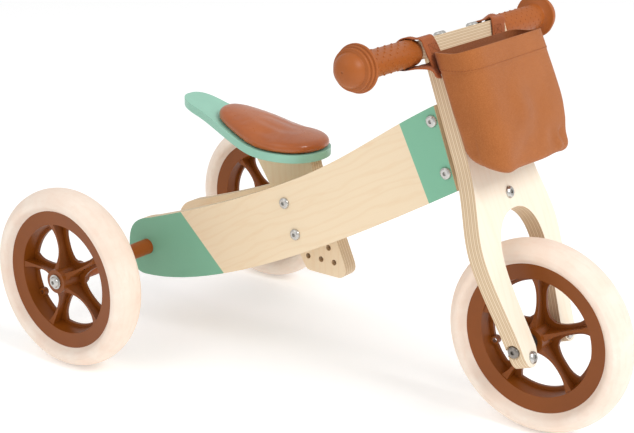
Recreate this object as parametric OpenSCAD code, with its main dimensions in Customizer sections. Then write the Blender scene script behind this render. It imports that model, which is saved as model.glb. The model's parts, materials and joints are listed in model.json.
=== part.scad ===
// Children's tricycle. Two curved plywood side boards run from the rear axle to the head
// block. A plywood post between them carries the seat, and a raked plywood fork plate,
// hinged on the head block, carries the front wheel, the handlebar and a cloth bag.
// +X is forward, +Y is the rider's left and +Z is up, in millimetres.
// The origin is on the ground, half way between the axles, on the centre plane.

/* [Wheels] */
// Radius of the tyres
wheel_r = 100; // [95:1:105]
// Half the width of a tyre at its widest
tyre_half = 20; // [18:0.5:22]
// Half the length of a wheel hub
hub_half = 19; // [18:0.5:21]
// Radius of a wheel hub
hub_r = 13.2; // [12:0.2:15]

/* [Frame] */
// Distance between the front and rear axles
wheelbase = 490; // [484:1:496]
// Distance between the middles of the two rear tyres
track = 346; // [330:1:360]
// Distance between the outer faces of the side boards
body_w = 100; // [96:1:102]
// Thickness of each side board
board_t = 15; // [12:1:18]
// Diameter of the rear axle tube
tube_d = 18; // [16:1:20]

/* [Seat] */
// Height of the flat part of the seat board's top face
seat_z = 242.3; // [240:0.1:246]
// Thickness of the seat board
seat_t = 9; // [7:0.5:10]
// Angle by which the tail of the seat board bends up
tail_angle = 16.6; // [14:0.2:18]
// Thickness of the seat post plate
post_t = 18; // [15:1:20]
// Height of the seat cushion
cushion_h = 12; // [9:1:15]

/* [Steering] */
// Angle by which the fork and the steering axis lean back
rake = 20; // [19:0.5:21]
// Thickness of the fork plate
fork_t = 17; // [15:1:18]
// Height of the plywood handlebar's section
bar_h = 18; // [17:1:20]
// Depth of the plywood handlebar's section, front to back
bar_depth = 30; // [26:1:32]
// Distance of each grip's flange from the centre plane
grip_flange = 163; // [155:1:168]
// Diameter of the grips
grip_d = 26; // [24:0.5:28]

/* [Bag] */
// Half the width of the bag at its rim
bag_half_top = 75; // [72:1:78]
// Half the width of the bag at its base
bag_half_base = 66; // [60:1:70]
// Depth of the bag from back to front
bag_depth = 44; // [40:1:48]

/* [Hidden] */
$fn = 64;
run = 0.05;              // radial clearance of a running fit
clear = 0.3;             // clearance of a bolt hole, and of a wheel between its washers
axle_r = 4;              // radius of the rods that the wheels turn on
bolt_r = 3;              // shanks of the frame and fork bolts
screw_r = 2.5;           // shanks of the axle end bolts and the screws
head_r = 6.3;
head_h = 3.2;
washer_r = 8;
washer_t = 1.2;
bush_r = 7;              // outer radius of every plain bush
bush_len = 12;

ply = "BurlyWood";
brown = "SaddleBrown";
steel = "Silver";
cream = "AntiqueWhite";
leather = "Sienna";

rear_x = -wheelbase / 2;
front_x = wheelbase / 2;
face = body_w / 2;       // outer face of a side board
inner = face - board_t;  // inner face of a side board

// The fork is drawn in its own axes from the front axle: v forward, y across and u up.
fork_front = 10;                    // v of the plate's front face
fork_back = fork_front - fork_t;    // v of the plate's back face
fork_top = 297;                     // u of the plate's top edge
pin_v = -24;                        // v of the steering axis
board_end = -15.5;                  // v of the side boards' front ends
bracket_t = 4;
bracket_half = 14;
bush_low = 178;                     // u between the steering bushes' flanges
bush_high = 226;
bush_flange = 1.5;
pin_r = 4;
low_bolt_u = 147;
high_bolt_u = 262;
bar_bolt_y = 30;
barrel_u = fork_top - 20;           // u of the barrel nuts under the handlebar bolts
barrel_r = 5;
spigot_r = 8.5;                     // round ends of the handlebar, inside the grips
spigot_end = grip_flange - 3;
grip_start = 76;

// A point of the fork's own axes, as x from the rear axle and height
function fork_point(v, u) = [wheelbase + v * cos(rake) - u * sin(rake),
    wheel_r + v * sin(rake) + u * cos(rake)];
// Points of a cubic curve from a to d, pulled towards b and c, without its last point
function curve(a, b, c, d, n = 10) = [for (i = [0:n - 1]) let (t = i / n, s = 1 - t)
    s * s * s * a + 3 * s * s * t * b + 3 * s * t * t * c + t * t * t * d];
// The same outline on the other side of its second axis, in the opposite order
function other_side(pts) = [for (i = [len(pts) - 1:-1:0]) [-pts[i][0], pts[i][1]]];
function polar(r, a) = [r * cos(a), r * sin(a)];

head_bolts_at = [[-22.5, 236], [-22.5, 183.5]];
post_bolts_at = [[205, 194], [219.8, 161.8]];
post_holes_at = [[205.5, 122.5], [223.2, 122.5], [240.9, 122.5], [233.2, 137.8]];
post_hole_r = 3.2;
seat_screws_at = [182, 203];

right_turn = 32.5;       // how far each wheel is turned about its axle
left_turn = 58.5;
front_turn = 21.3;

// Draws with x measured from the rear axle
module from_rear() translate([rear_x, 0, 0]) children();
// Draws with the origin on the rear axle's middle
module on_rear_axle() translate([rear_x, 0, wheel_r]) children();
// Draws in the fork's own axes
module on_fork() translate([front_x, 0, wheel_r]) rotate([0, -rake, 0]) children();
// A plate from y1 to y2 whose outline is given in x and z
module plate(y1, y2) translate([0, y2, 0]) rotate([90, 0, 0]) linear_extrude(y2 - y1) children();
// A rod, and a tube, along y from y1 to y2
module rod(r, y1, y2) translate([0, y1, 0]) rotate([-90, 0, 0]) cylinder(r = r, h = y2 - y1);
module tube(r, bore, y1, y2) difference() {
    rod(r, y1, y2);
    rod(bore, y1 - 1, y2 + 1);
}
// A rod along the fork's v axis from v1 to v2
module rod_v(r, v1, v2) translate([v1, 0, 0]) rotate([0, 90, 0]) cylinder(r = r, h = v2 - v1);
// A ring about y whose section is given in radius and y
module turned() rotate([-90, 0, 0]) rotate_extrude($fn = 128) children();
module both_sides() {
    children();
    mirror([0, 1, 0]) children();
}

// A domed bolt head standing on the xy plane, with a hexagon socket
module bolt_head() difference() {
    rotate_extrude() polygon([[0, 0], [head_r, 0], [head_r, 0.9], [head_r * 0.9, 2.2],
        [head_r * 0.66, head_h], [0, head_h]]);
    translate([0, 0, 1.2]) cylinder(r = 2.3, h = head_h, $fn = 6);
}
// A bolt along y, with its head outwards on the face at y and a shank r by length
module side_bolt(r, y, length) {
    rod(r, y - length, y);
    translate([0, y, 0]) rotate([-90, 0, 0]) bolt_head();
}
// A nut on the xy plane
module nut(thickness) difference() {
    cylinder(r = 5.8, h = thickness, $fn = 6);
    translate([0, 0, -1]) cylinder(r = bolt_r, h = thickness + 2);
}

// Side boards --------------------------------------------------------------------------

board_low = fork_point(board_end, 164);
board_high = fork_point(board_end, 250.5);
board_outline = concat(
    curve([-4.4, 65], [111.3, 69.9], [288.6, 170.7], board_low, 24),
    [board_low],
    curve(board_high, [331.1, 295.8], [290.9, 261.1], [226, 227], 14),
    curve([226, 227], [147.2, 187.2], [86.7, 163.6], [7, 137], 14),
    curve([7, 137], [-12, 132], [-29, 127], [-29, 98], 12),
    curve([-29, 98], [-29, 76], [-20, 64.3], [-4.4, 65], 10));

// Draws at each head bolt, and at each seat post bolt, with x from the rear axle
module at_head_bolts() for (p = head_bolts_at) {
    q = fork_point(p[0], p[1]);
    translate([q[0], 0, q[1]]) children();
}
module at_post_bolts() for (p = post_bolts_at) translate([p[0], 0, p[1]]) children();

// The board on the rider's left; the right one is its mirror image
module board() color(ply) from_rear() difference() {
    plate(inner, face) polygon(board_outline);
    translate([0, 0, wheel_r]) rod(tube_d / 2, inner - 1, face + 1);
    at_post_bolts() rod(bolt_r + clear, inner - 1, face + 1);
    at_head_bolts() rod(bolt_r + clear, inner - 1, face + 1);
}
module side_board_left() board();
module side_board_right() mirror([0, 1, 0]) board();

// Rear axle ----------------------------------------------------------------------------

hub_in = track / 2 - hub_half;
hub_out = track / 2 + hub_half;
tube_end = hub_in - clear - washer_t;
bolt_seat = hub_out + clear + washer_t;

module axle_tube() color(brown) on_rear_axle() tube(tube_d / 2, axle_r + run, -tube_end, tube_end);
module rear_axle_rod() color(steel) on_rear_axle() difference() {
    rod(axle_r, -hub_out + 2, hub_out - 2);
    both_sides() rod(screw_r, hub_out - 24, hub_out);
}
module rear_axle_bolts() color(steel) on_rear_axle()
    both_sides() side_bolt(screw_r, bolt_seat, 20);
module rear_axle_washers() color(steel) on_rear_axle()
    both_sides() tube(washer_r, screw_r + run, hub_out + clear, bolt_seat);
module rear_thrust_washers() color(steel) on_rear_axle()
    both_sides() tube(washer_r, axle_r + run, tube_end, tube_end + washer_t);

// Wheels -------------------------------------------------------------------------------

rim_r = 77.5;            // edge of the rim's flanges
rim_half = 12.2;
crest_r = 86;            // radius at which a tyre is at its widest
channel_r = 70;          // bottom of the channel that the tyre sits in
channel_half = 8.5;
dish_r = 61.7;           // inner edge of the rim's faces
dish_half = 10;
wall_r = 59.3;           // foot of the wall behind the open face
web_y = 4.5;             // faces of the spoke web, behind the wheel's middle plane
web_back = 8;
window_r = 56;
spoke_angle = 72;
valve_r = 56;

tyre_side = concat([[channel_r, channel_half], [rim_r, channel_half + 0.7]],
    curve([rim_r, rim_half], [80, 14.5], [82.5, tyre_half], [crest_r, tyre_half], 6));
tyre_section = concat(tyre_side,
    [for (a = [90:-7.5:-90]) [crest_r + (wheel_r - crest_r) * cos(a), tyre_half * sin(a)]],
    [for (i = [len(tyre_side) - 1:-1:0]) [tyre_side[i][0], -tyre_side[i][1]]]);

rim_section = [[wall_r, web_y], [dish_r, -dish_half], [rim_r, -rim_half],
    [rim_r, -channel_half - 0.7], [channel_r, -channel_half], [channel_r, channel_half],
    [rim_r, channel_half + 0.7], [rim_r, rim_half], [dish_r, dish_half],
    [wall_r + 0.3, web_back - 0.5]];

// Half the angle of a spoke's web at radius r; the web flares at the hub and at the rim
function web_angle(r) = asin((5.3 + 4.5 * pow(abs(r - 37) / 18, 3)) / r);
window_steps = [for (i = [0:10]) 20.5 + i * (window_r - 20.5) / 10];
window_outline = concat(
    [for (r = window_steps) polar(r, web_angle(r))],
    [for (a = [14:4:58]) polar(window_r, a)],
    [for (i = [10:-1:0]) polar(window_steps[i], spoke_angle - web_angle(window_steps[i]))]);

// Half the thickness of a rib at radius r
function rib_half(r) = 1.3 + 2.4 * pow(abs(r - 37) / 24, 3);
rib_plan = concat(
    [for (r = [9:4:65]) [r, rib_half(r)]],
    [for (r = [65:-4:9]) [r, -rib_half(r)]]);
// The crest of a rib is high at the hub, low in the middle and rises again to the rim
rib_side = concat([[9, web_y + 1], [9, -14.8]],
    curve([13, -14.8], [20, -9], [27, -4.6], [37, -4.2]),
    curve([37, -4.2], [47, -3.8], [54, -5.5], [61, -8.8]),
    [[61, -8.8], [65, -8.8], [65, web_y + 1]]);

// A wheel is drawn with its middle on the origin and its open face towards -y.
module tyre() color(cream) turned() polygon(tyre_section);
module rim(turn) color(brown) rotate([0, -turn, 0]) difference() {
    union() {
        turned() polygon(rim_section);
        difference() {
            rod(63, web_y, web_back);
            for (k = [0:4]) rotate([0, -spoke_angle * k, 0])
                plate(web_y - 1, web_back + 1) polygon(window_outline);
        }
        for (k = [0:4]) rotate([0, -spoke_angle * k, 0]) intersection() {
            plate(-16, web_back - 1) polygon(rib_plan);
            translate([0, 0, -6]) linear_extrude(12) polygon(rib_side);
        }
        rod(hub_r, -hub_half, hub_half);
        translate([-valve_r, 0, 0]) rod(4.5, 2, web_back);
    }
    rod(axle_r + 1, -hub_half - 1, hub_half + 1);
    both_sides() rod(bush_r, hub_half - bush_len, hub_half + 1);
    translate([-valve_r, 0, 0]) rod(2.7, -1, web_back + 1);
}
module bushes() color("DimGray") both_sides()
    tube(bush_r, axle_r + run, hub_half - bush_len, hub_half);

module at_right_wheel() translate([rear_x, -track / 2, wheel_r]) children();
module at_left_wheel() translate([rear_x, track / 2, wheel_r]) children();
module at_front_wheel() translate([front_x, 0, wheel_r]) children();

module rear_tyre_right() at_right_wheel() tyre();
module rear_rim_right() at_right_wheel() rim(right_turn);
module rear_bushes_right() at_right_wheel() bushes();
module rear_tyre_left() at_left_wheel() tyre();
module rear_rim_left() at_left_wheel() rim(left_turn);
module rear_bushes_left() at_left_wheel() bushes();
module front_tyre() at_front_wheel() tyre();
module front_rim() at_front_wheel() rim(front_turn);
module front_bushes() at_front_wheel() bushes();

// Seat ---------------------------------------------------------------------------------

seat_front = 218.5;
seat_bend_x = 170;       // the seat board starts to bend up behind this x
seat_bend_r = 138.5;     // of the top face
tail_x = 26;

// Points on a face lying h above the seat board's top face, from its bend to its tail
function seat_line(h) = concat(
    [for (i = [0:8]) let (a = tail_angle * i / 8, r = seat_bend_r - h)
        [seat_bend_x - r * sin(a), seat_z + seat_bend_r - r * cos(a)]],
    [let (r = seat_bend_r - h, run_out = 125)
        [seat_bend_x - r * sin(tail_angle) - run_out * cos(tail_angle),
            seat_z + seat_bend_r - r * cos(tail_angle) + run_out * sin(tail_angle)]]);
// A layer that follows the seat board, from h1 to h2 above its top face
function seat_layer(h1, h2) = let (low = seat_line(h1), high = seat_line(h2)) concat(
    [[seat_front + 20, seat_z + h1]], low,
    [for (i = [len(high) - 1:-1:0]) high[i]], [[seat_front + 20, seat_z + h2]]);

seat_plan_half = concat(
    curve([seat_front, 0], [seat_front, 24], [203, 40.5], [173, 41.3], 14),
    curve([173, 41.3], [128, 43], [85, 25], [60, 22.6], 14),
    curve([60, 22.6], [38, 22], [tail_x, 17], [tail_x, 0], 10));
cushion_plan_half = concat(
    curve([214.5, 0], [214.5, 21], [200, 36], [172, 36], 14),
    curve([172, 36], [146, 36], [122, 27], [101, 21.5], 12),
    curve([101, 21.5], [86, 18.5], [78, 12], [78, 0], 8));
// A whole outline from the half on the rider's left
module both_halves(half) polygon(concat(half,
    [for (i = [len(half) - 1:-1:1]) [half[i][0], -half[i][1]]]));

module seat_board() color(ply) from_rear() difference() {
    intersection() {
        plate(-60, 60) polygon(seat_layer(-seat_t, 0));
        translate([0, 0, 200]) linear_extrude(120) both_halves(seat_plan_half);
    }
    for (x = seat_screws_at) translate([x, 0, seat_z]) {
        translate([0, 0, -seat_t - 1]) cylinder(r = screw_r, h = seat_t + 2);
        translate([0, 0, -3]) cylinder(r1 = screw_r, r2 = screw_r + 3.1, h = 3.1);
    }
}
module seat_screws() color(steel) from_rear() for (x = seat_screws_at)
    translate([x, 0, seat_z]) {
        translate([0, 0, -38]) cylinder(r = screw_r, h = 37);
        translate([0, 0, -3]) cylinder(r1 = screw_r, r2 = screw_r + 2.9, h = 2.9);
    }
module seat_cushion() color(leather) from_rear() intersection() {
    plate(-60, 60) polygon(seat_layer(0, cushion_h));
    translate([0, 0, 200]) linear_extrude(120) both_halves(cushion_plan_half);
}

post_outline = concat(
    curve([202.3, 108.9], [174.3, 154.5], [165.5, 178.3], [120, 240], 14),
    [[112, 251], [212, 251], [209.6, 229.8], [211.8, 221.7], [250.5, 134.4]],
    curve([250.5, 134.4], [255, 123.5], [260.5, 115], [254.4, 109.7], 6),
    curve([254.4, 109.7], [252, 107], [250, 106], [245, 106], 4),
    [[245, 106], [211, 106]],
    curve([211, 106], [206.5, 106], [204.6, 106.2], [202.3, 108.9], 4));

module seat_post() color(ply) from_rear() difference() {
    plate(-post_t / 2, post_t / 2) polygon(post_outline);
    plate(-20, 20) polygon(seat_layer(-seat_t, 30));
    at_post_bolts() rod(bolt_r + clear, -20, 20);
    for (p = post_holes_at) translate([p[0], 0, p[1]]) rod(post_hole_r, -20, 20);
    for (x = seat_screws_at) translate([x, 0, seat_z - 40]) cylinder(r = screw_r, h = 40);
}
module post_spacers() color(steel) from_rear() at_post_bolts()
    both_sides() tube(8, bolt_r + 0.2, post_t / 2, inner);
module post_bolts() color(steel) from_rear() at_post_bolts()
    mirror([0, 1, 0]) side_bolt(bolt_r, face, body_w + 4);
module post_nuts() color(steel) from_rear() at_post_bolts() difference() {
    translate([0, face, 0]) rotate([-90, 0, 0]) union() {
        cylinder(r = 6.2, h = 3.2, $fn = 6);
        rotate_extrude() polygon([[0, 3], [4.8, 3], [4.6, 5], [3, 6.8], [0, 7.2]]);
    }
    rod(bolt_r, face - 1, face + 5);
}

// Head block and hinge -----------------------------------------------------------------

notch_half = 17;         // the brackets sit in notches in the block's top and bottom
block_outline = [[-60, 168], [-16, 168], [-16, 244], [-30, 244], [-60, 214]];

module head_block() color(ply) difference() {
    on_fork() difference() {
        plate(-inner, inner) polygon(block_outline);
        translate([-70, -notch_half, bush_high]) cube([60, 2 * notch_half, 30]);
        translate([-70, -notch_half, bush_low - 30]) cube([60, 2 * notch_half, 30]);
        translate([pin_v, 0, bush_low - 1]) cylinder(r = bush_r, h = bush_high - bush_low + 2);
    }
    from_rear() at_head_bolts() both_sides() rod(bolt_r, 20, inner + 1);
}
module head_bolts() color(steel) from_rear() at_head_bolts()
    both_sides() side_bolt(bolt_r, face, face - 20);

// A flanged bush whose flange stands on the xy plane
module flanged_bush() difference() {
    union() {
        translate([0, 0, -bush_len]) cylinder(r = bush_r, h = bush_len);
        cylinder(r = bush_r + 2, h = bush_flange);
    }
    translate([0, 0, -bush_len - 1]) cylinder(r = pin_r + run, h = bush_len + bush_flange + 2);
}
module steering_bushes() color("DimGray") on_fork() translate([pin_v, 0, 0]) {
    translate([0, 0, bush_high]) flanged_bush();
    translate([0, 0, bush_low]) mirror([0, 0, 1]) flanged_bush();
}

arm_low = bush_low - bush_flange - clear;     // faces of the brackets next to the bushes
arm_high = bush_high + bush_flange + clear;

// An angle bracket: its arm lies on the xy plane over the pin, and its leg rises to top
module bracket(top, bolt_z) difference() {
    plate(-bracket_half, bracket_half) polygon([[pin_v - 9, 0], [fork_back, 0],
        [fork_back, top], [fork_back - bracket_t, top], [fork_back - bracket_t, bracket_t],
        [pin_v - 9, bracket_t]]);
    translate([pin_v, 0, -1]) cylinder(r = pin_r + run, h = bracket_t + 2);
    translate([0, 0, bolt_z]) rod_v(bolt_r + clear, fork_back - bracket_t - 1, fork_back + 1);
}
module upper_bracket() color(steel) on_fork() translate([0, 0, arm_high])
    bracket(272 - arm_high, high_bolt_u - arm_high);
module lower_bracket() color(steel) on_fork() translate([0, 0, arm_low]) mirror([0, 0, 1])
    bracket(arm_low - 137, arm_low - low_bolt_u);
module steering_pin() color(steel) on_fork() translate([pin_v, 0, 0]) {
    translate([0, 0, arm_low - bracket_t]) cylinder(r = pin_r, h = arm_high + 11 - arm_low + bracket_t);
    translate([0, 0, arm_low - bracket_t - 4]) cylinder(r = 6.5, h = 4);
}
module steering_pin_nut() color(steel) on_fork() translate([pin_v, 0, arm_high + bracket_t])
    difference() {
        cylinder(r = 7.4, h = 6, $fn = 6);
        translate([0, 0, -1]) cylinder(r = pin_r, h = 8);
    }

// Fork ---------------------------------------------------------------------------------

// Half of the fork plate's outline as y and u, from the top of the arch round to the top
fork_half_outline = concat(
    curve([0, 131], [24, 131], [40, 115], [41, 86], 12),
    curve([41, 86], [41.5, 60], [31, 25], [27, -2], 12),
    curve([27, -2], [27.5, -14], [33, -20], [40, -20], 8),
    curve([40, -20], [48, -20], [52, -13], [53, -4], 8),
    curve([53, -4], [56, 25], [74, 70], [73.5, 102], 12),
    curve([73.5, 102], [73.2, 130], [57, 150], [56, 192], 12),
    [[56, 192], [56, fork_top]]);
leg_screw_y = 38;
leg_screw_u = -11;
leg_seat = 52;           // flat seats for the axle bolts, in the legs' outer edges

module fork_plate() color(ply) on_fork() difference() {
    translate([fork_back, 0, 0]) rotate([90, 0, 90]) linear_extrude(fork_t)
        polygon(concat(fork_half_outline,
            [for (i = [len(fork_half_outline) - 1:-1:1])
                [-fork_half_outline[i][0], fork_half_outline[i][1]]]));
    rod(axle_r + run, -80, 80);
    both_sides() {
        rod(7.5, leg_seat, 80);
        translate([0, leg_screw_y, leg_screw_u]) rod_v(screw_r, -4, fork_front + 1);
        translate([0, bar_bolt_y, barrel_u - 10]) cylinder(r = bolt_r + clear, h = 60);
        translate([0, bar_bolt_y, barrel_u]) rod_v(barrel_r, fork_back - 1, 6);
    }
    translate([0, 0, low_bolt_u]) rod_v(bolt_r + clear, fork_back - 1, fork_front + 1);
    translate([0, 0, high_bolt_u]) rod_v(bolt_r + clear, fork_back - 1, fork_front + 1);
}
module fork_bolts() color(steel) on_fork() for (u = [low_bolt_u, high_bolt_u])
    translate([0, 0, u]) {
        rod_v(bolt_r, fork_back - bracket_t - 6, fork_front);
        translate([fork_front, 0, 0]) rotate([0, 90, 0]) bolt_head();
    }
module fork_nuts() color(steel) on_fork() for (u = [low_bolt_u, high_bolt_u])
    translate([fork_back - bracket_t, 0, u]) rotate([0, -90, 0]) nut(4.5);
module leg_screws() color(steel) on_fork() both_sides()
    translate([0, leg_screw_y, leg_screw_u]) {
        rod_v(screw_r, -4, fork_front);
        translate([fork_front, 0, 0]) rotate([0, 90, 0]) bolt_head();
    }

module front_axle_rod() color(steel) at_front_wheel() difference() {
    rod(axle_r, -leg_seat + 1, leg_seat - 1);
    both_sides() rod(screw_r, leg_seat - 20, leg_seat);
}
module front_axle_bolts() color("DimGray") at_front_wheel()
    both_sides() side_bolt(screw_r, leg_seat, 18);
module front_spacers() color("DimGray") at_front_wheel()
    both_sides() tube(washer_r, axle_r + run, hub_half + clear, 27);

// Handlebar ----------------------------------------------------------------------------

bar_u = fork_top + bar_h / 2;
bar_v = fork_front - bar_depth / 2;

module on_bar() on_fork() translate([bar_v, 0, bar_u]) children();

module handlebar() color(ply) on_bar() difference() {
    union() {
        translate([-bar_depth / 2, -grip_start, -bar_h / 2])
            cube([bar_depth, 2 * grip_start, bar_h]);
        rod(spigot_r, -spigot_end, spigot_end);
    }
    both_sides() translate([-bar_v, bar_bolt_y, -20]) cylinder(r = bolt_r + clear, h = 40);
}
module handlebar_bolts() color(steel) on_fork() both_sides() translate([0, bar_bolt_y, 0]) {
    translate([0, 0, barrel_u - 8]) cylinder(r = bolt_r, h = fork_top + bar_h - barrel_u + 8);
    translate([0, 0, fork_top + bar_h]) bolt_head();
}
module barrel_nuts() color(steel) on_fork() both_sides()
    translate([0, bar_bolt_y, barrel_u]) difference() {
        rod_v(barrel_r, fork_back, 6);
        translate([0, 0, -10]) cylinder(r = bolt_r, h = 20);
    }

// The grip on the rider's left, as radius and y: a sleeve, three flanges and a domed end
grip_r = grip_d / 2;
dome_y = grip_flange + 12;
grip_section = concat(
    [[spigot_r, grip_start], [grip_r - 1, grip_start], [grip_r, grip_start + 1],
        [grip_r, grip_flange]],
    [for (k = [0:2]) let (r = 23 - 1.5 * k, y = grip_flange + 4 * k)
        each [[r - 0.6, y], [r, y + 0.6], [r, y + 2.8], [r - 0.6, y + 3.4],
            [r - 3, y + 3.4], [r - 3, y + 4]]],
    curve([18.4, dome_y], [17.6, dome_y + 6], [12, dome_y + 13], [0, dome_y + 13], 10),
    [[0, dome_y + 13], [0, spigot_end], [spigot_r, spigot_end]]);

module grip() color(leather) on_bar() turned() polygon(grip_section);
module grip_left() grip();
module grip_right() mirror([0, 1, 0]) grip();

// Bag ----------------------------------------------------------------------------------

bag_back = fork_front + 3.4;        // v of the bag's back and of its front at the rim
bag_front = bag_back + bag_depth;
bag_rim = 290;
cloth = 2;
strap_in = 57;                      // the straps pass beside the fork plate
strap_out = 73;
strap_t = 1.6;
strap_gap = 0.4;

// Half of the bag's outline seen from above, as v and y, drawn in by a gap
function bag_plan(gap) = concat([[bag_back + gap, 0]],
    curve([bag_back + gap, 50], [bag_back + gap, 66], [20, bag_half_top - gap],
        [33, bag_half_top - gap]),
    curve([33, bag_half_top - gap], [48, bag_half_top - gap], [bag_front - gap, 66],
        [bag_front - gap, 46]),
    [[bag_front - gap, 46], [bag_front - gap, 0]]);
module bag_form(gap, top) intersection() {
    plate(-90, 90) polygon([[bag_back + gap, top], [bag_front - gap, top],
        [bag_front - 4.5 - gap, 175 + gap], [bag_back + gap, 197 + gap]]);
    rotate([90, 0, 90]) linear_extrude(80)
        polygon([[-bag_half_base + gap, 170], [bag_half_base - gap, 170],
            [bag_half_top - gap, bag_rim], [bag_half_top - gap, bag_rim + 5],
            [gap - bag_half_top, bag_rim + 5], [gap - bag_half_top, bag_rim]]);
    translate([0, 0, 160]) linear_extrude(150) both_halves(bag_plan(gap));
}
module bag() color(leather) on_fork() difference() {
    bag_form(0, bag_rim);
    bag_form(cloth, bag_rim + 3);
}

// The strap on the rider's left: a loop round the handlebar, sewn to the bag's back
loop_v1 = fork_front - bar_depth - strap_gap - strap_t;
loop_u1 = fork_top - strap_gap - strap_t;
loop_u2 = fork_top + bar_h + strap_gap + strap_t;
module strap() color(leather) on_fork() difference() {
    plate(strap_in, strap_out) polygon([[loop_v1, loop_u1], [loop_v1, loop_u2],
        [bag_back, loop_u2], [bag_back, 262], [bag_back - strap_t, 262],
        [bag_back - strap_t, loop_u1]]);
    plate(strap_in - 1, strap_out + 1) polygon([[loop_v1 + strap_t, loop_u1 + strap_t],
        [loop_v1 + strap_t, loop_u2 - strap_t], [bag_back - strap_t, loop_u2 - strap_t],
        [bag_back - strap_t, loop_u1 + strap_t]]);
}
module bag_strap_left() strap();
module bag_strap_right() mirror([0, 1, 0]) strap();

side_board_right();
side_board_left();
axle_tube();
rear_axle_rod();
head_block();
head_bolts();
steering_bushes();
seat_post();
post_spacers();
post_bolts();
post_nuts();
seat_board();
seat_screws();
seat_cushion();
rear_axle_bolts();
rear_axle_washers();
rear_thrust_washers();
rear_tyre_right();
rear_rim_right();
rear_bushes_right();
rear_tyre_left();
rear_rim_left();
rear_bushes_left();
fork_plate();
upper_bracket();
lower_bracket();
steering_pin();
steering_pin_nut();
fork_bolts();
fork_nuts();
handlebar();
handlebar_bolts();
barrel_nuts();
grip_right();
grip_left();
front_axle_rod();
front_axle_bolts();
leg_screws();
front_spacers();
front_tyre();
front_rim();
front_bushes();
bag();
bag_strap_right();
bag_strap_left();
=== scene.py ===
"""Blender scene of a children's tricycle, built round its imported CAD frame.

Units are metres, in the CAD frame: +X forward, +Y to the rider's left, +Z up. Lengths
written as n * MM are millimetres.
"""
import json
import math

import bmesh
import bpy
from mathutils import Matrix, Vector, noise

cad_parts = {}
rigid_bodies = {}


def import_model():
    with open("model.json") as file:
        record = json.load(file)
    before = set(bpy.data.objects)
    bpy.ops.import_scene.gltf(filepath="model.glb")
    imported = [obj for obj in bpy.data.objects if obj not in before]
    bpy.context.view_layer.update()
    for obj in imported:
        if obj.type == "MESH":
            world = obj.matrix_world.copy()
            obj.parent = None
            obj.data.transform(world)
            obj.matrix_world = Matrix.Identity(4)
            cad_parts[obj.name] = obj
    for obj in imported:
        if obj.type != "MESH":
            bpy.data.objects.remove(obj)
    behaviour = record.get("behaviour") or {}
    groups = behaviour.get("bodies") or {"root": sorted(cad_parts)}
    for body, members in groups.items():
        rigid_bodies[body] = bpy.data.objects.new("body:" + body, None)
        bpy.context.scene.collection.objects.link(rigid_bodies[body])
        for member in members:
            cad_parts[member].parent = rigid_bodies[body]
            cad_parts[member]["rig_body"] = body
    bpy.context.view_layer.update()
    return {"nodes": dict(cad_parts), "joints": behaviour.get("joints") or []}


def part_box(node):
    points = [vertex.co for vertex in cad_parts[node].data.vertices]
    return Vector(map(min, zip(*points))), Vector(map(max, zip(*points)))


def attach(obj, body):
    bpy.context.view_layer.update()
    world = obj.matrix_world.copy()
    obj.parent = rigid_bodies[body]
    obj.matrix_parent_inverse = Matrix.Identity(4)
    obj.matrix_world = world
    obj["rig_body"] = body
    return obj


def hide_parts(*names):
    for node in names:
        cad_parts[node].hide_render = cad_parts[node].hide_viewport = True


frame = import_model()
MM = 0.001
JOINTS = {joint["name"]: joint for joint in frame["joints"]}

# The fork's own axes: forward through the plate, across, and up along it.
FRONT_AXLE = Vector(JOINTS["front_wheel_spin"]["pos_m"])
FORK_UP = Vector(JOINTS["steering"]["axis"]).normalized()
FORK_FORWARD = Vector((FORK_UP.z, 0.0, -FORK_UP.x))


def fork(v, y, u):
    """A point in the fork's own axes, given in millimetres."""
    return FRONT_AXLE + (FORK_FORWARD * v + FORK_UP * u + Vector((0, y, 0))) * MM


# Camera -------------------------------------------------------------------------------

CAMERA_AZIMUTH = math.radians(35.87)
CAMERA_ELEVATION = math.radians(15.0)
CAMERA_ROLL = math.radians(0.53)
CAMERA_DISTANCE = 1.5084
CAMERA_TARGET = Vector((-0.00977, 0.02648, 0.26848))
SENSOR_WIDTH = 36.0
LENS = 79.0086435
SHIFT_X, SHIFT_Y = -0.052192429, -0.143438486


def add_camera():
    data = bpy.data.cameras.new("camera")
    data.sensor_width = SENSOR_WIDTH
    data.lens = LENS
    data.shift_x = SHIFT_X
    data.shift_y = SHIFT_Y
    data.clip_start = 0.05
    camera = bpy.data.objects.new("camera", data)
    bpy.context.scene.collection.objects.link(camera)
    back = Vector((math.sin(CAMERA_AZIMUTH) * math.cos(CAMERA_ELEVATION),
                   -math.cos(CAMERA_AZIMUTH) * math.cos(CAMERA_ELEVATION),
                   math.sin(CAMERA_ELEVATION)))
    turn = back.to_track_quat("Z", "Y").to_matrix() @ Matrix.Rotation(CAMERA_ROLL, 3, "Z")
    camera.matrix_world = (Matrix.Translation(CAMERA_TARGET + back * CAMERA_DISTANCE)
                           @ turn.to_4x4())
    bpy.context.scene.camera = camera


add_camera()


# Mesh helpers -------------------------------------------------------------------------

def add_mesh(name, verts, faces):
    """A smooth-shaded object made of these vertices and faces, facing outwards."""
    mesh = bpy.data.meshes.new(name)
    mesh.from_pydata([tuple(v) for v in verts], [], faces)
    work = bmesh.new()
    work.from_mesh(mesh)
    bmesh.ops.recalc_face_normals(work, faces=work.faces)
    work.to_mesh(mesh)
    work.free()
    mesh.polygons.foreach_set("use_smooth", [True] * len(mesh.polygons))
    obj = bpy.data.objects.new(name, mesh)
    bpy.context.scene.collection.objects.link(obj)
    return obj


def bridge(rows, closed=False):
    """Faces between rings of equally many vertices, numbered ring after ring. closed joins
    the last ring to the first."""
    count = len(rows[0])
    faces = []
    for i in range(len(rows) - (0 if closed else 1)):
        low, high = i * count, (i + 1) % len(rows) * count
        for j in range(count):
            k = (j + 1) % count
            faces.append((low + j, low + k, high + k, high + j))
    return faces


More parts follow.
